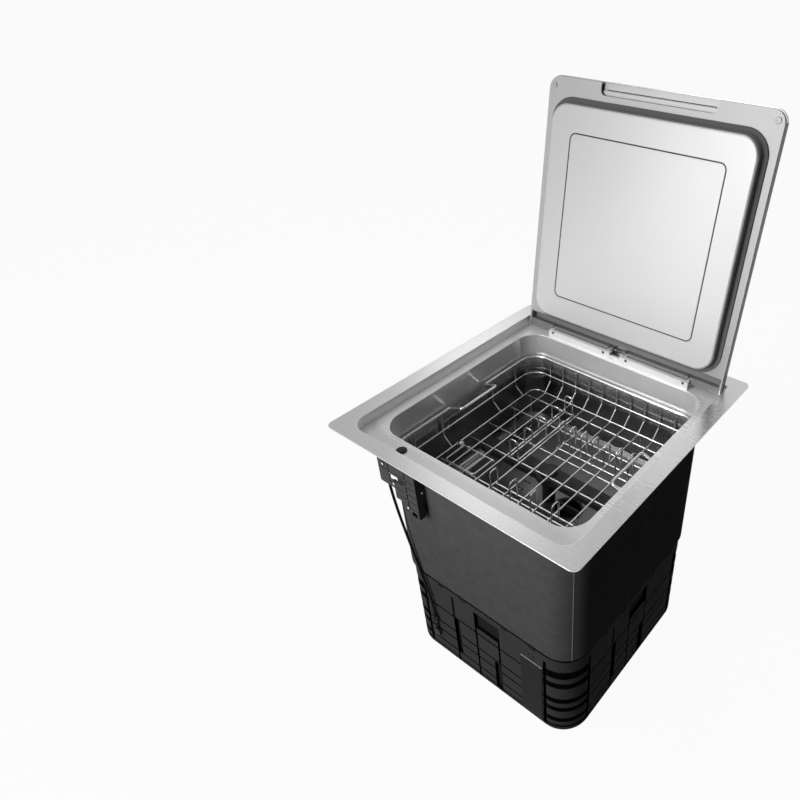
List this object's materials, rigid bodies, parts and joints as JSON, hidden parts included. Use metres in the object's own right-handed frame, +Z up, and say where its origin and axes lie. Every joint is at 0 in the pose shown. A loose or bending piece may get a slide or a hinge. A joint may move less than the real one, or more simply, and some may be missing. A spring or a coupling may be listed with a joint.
{
  "type": "sink dishwasher",
  "caption": "Drop-in sink dishwasher: square steel tub under a wide flange, hinged lid standing open, wire dish basket, dark jacket and finned base.",
  "frame": {"origin": "centre of the base's underside on the floor, below the middle of the top flange", "axes": "+Z up, -Y to the front where the lid opens, +Y to the hinge, +X to the right as seen from the front"},
  "size_m": [0.45, 0.5111, 0.9081],
  "materials": {
    "steel_brushed": "satin",
    "steel_polished": "polished",
    "wrap": "matt",
    "base_plastic": "matt",
    "base_panel": "matt",
    "black_plastic": "satin",
    "rail_steel": "satin",
    "spring_steel": "satin",
    "lid_outer": "satin",
    "lid_frame": "satin",
    "lid_plug": "satin",
    "gasket": "matt",
    "hinge_bar": "satin",
    "wire": "polished",
    "ball": "polished",
    "grey_plastic": "satin",
    "filter_steel": "satin",
    "pump_plastic": "satin",
    "motor_steel": "satin",
    "hose_rubber": "matt",
    "board": "satin"
  },
  "bodies": {
    "cabinet": {"top_flange": "steel_brushed", "tub": "steel_polished", "tub_wrap": "wrap", "base_shell": "base_plastic", "base_pan": "base_panel", "service_panel": "base_panel", "switch_bezel": "black_plastic", "door_switch": "black_plastic", "hinge_rail_left": "rail_steel", "hinge_rail_right": "rail_steel", "rail_screws": "rail_steel", "hinge_shaft": "rail_steel", "centre_latch": "rail_steel", "hinge_spring": "spring_steel", "bearing_post": "grey_plastic", "filter_tray": "filter_steel", "sump": "pump_plastic", "heater": "motor_steel", "pump_volute": "pump_plastic", "wash_motor": "motor_steel", "motor_mount": "gasket", "drain_pump": "pump_plastic", "drain_pipe": "hose_rubber", "inlet_valve": "black_plastic", "cable_gland": "black_plastic", "control_box": "pump_plastic", "circuit_board": "board", "control_cover": "pump_plastic", "float_switch": "black_plastic", "air_break": "black_plastic", "air_break_screws": "rail_steel", "breather_hose": "hose_rubber", "hose_clip": "base_plastic", "hose_port": "base_plastic"},
    "lid": {"lid_outer_panel": "lid_outer", "lid_frame": "lid_frame", "lid_grip_insert": "lid_frame", "lid_plug": "lid_plug", "lid_gasket": "gasket", "lid_hinge_bar": "hinge_bar", "lid_bumpers": "lid_frame"},
    "basket": {"basket_rim": "wire", "basket_rings": "wire", "basket_walls": "wire", "basket_floor": "wire", "basket_feet": "wire", "bowl_tines": "wire", "plate_tines": "wire", "cup_tines": "wire", "rack_eyes": "wire"},
    "rack": {"fold_rack": "wire", "rack_ball": "ball"},
    "arm": {"spray_arm": "grey_plastic", "arm_cap": "grey_plastic"},
    "filter": {"coarse_filter": "grey_plastic"},
    "button": {"door_button": "black_plastic"},
    "wash_impeller": {"wash_rotor": "grey_plastic"},
    "drain_impeller": {"drain_rotor": "grey_plastic"},
    "float": {"leak_float": "grey_plastic"}
  },
  "joints": [
    {"name": "lid_hinge", "type": "hinge", "parent": "cabinet", "child": "lid", "pos_m": [0, 0.2024, 0.4992], "axis": [-1, 0, 0], "range_deg": [-99.3, 0]},
    {"name": "basket_lift", "type": "slide", "parent": "cabinet", "child": "basket", "axis": [0, 0, 1], "range_m": [0, 0.25]},
    {"name": "rack_fold", "type": "hinge", "parent": "basket", "child": "rack", "pos_m": [0, -0.047, 0.38228], "axis": [-1, 0, 0], "range_deg": [0, 85]},
    {"name": "spray_spin", "type": "hinge", "parent": "cabinet", "child": "arm", "pos_m": [0, 0.001, 0.358], "axis": [0, 0, 1], "continuous": true},
    {"name": "filter_twist", "type": "hinge", "parent": "cabinet", "child": "filter", "pos_m": [0.04, 0.001, 0.298], "axis": [0, 0, 1], "range_deg": [0, 90]},
    {"name": "door_button_press", "type": "slide", "parent": "cabinet", "child": "button", "axis": [0, 0, 1], "range_m": [-0.002, 0], "stiffness_N_per_m": 300, "springref_m": 0.0015},
    {"name": "wash_spin", "type": "hinge", "parent": "cabinet", "child": "wash_impeller", "pos_m": [-0.038, 0.001, 0.228], "axis": [0, 0, 1], "continuous": true},
    {"name": "drain_spin", "type": "hinge", "parent": "cabinet", "child": "drain_impeller", "pos_m": [0.09, 0.001, 0.2715], "axis": [1, 0, 0], "continuous": true},
    {"name": "float_rise", "type": "slide", "parent": "cabinet", "child": "float", "axis": [0, 0, 1], "range_m": [0, 0.008]}
  ]
}
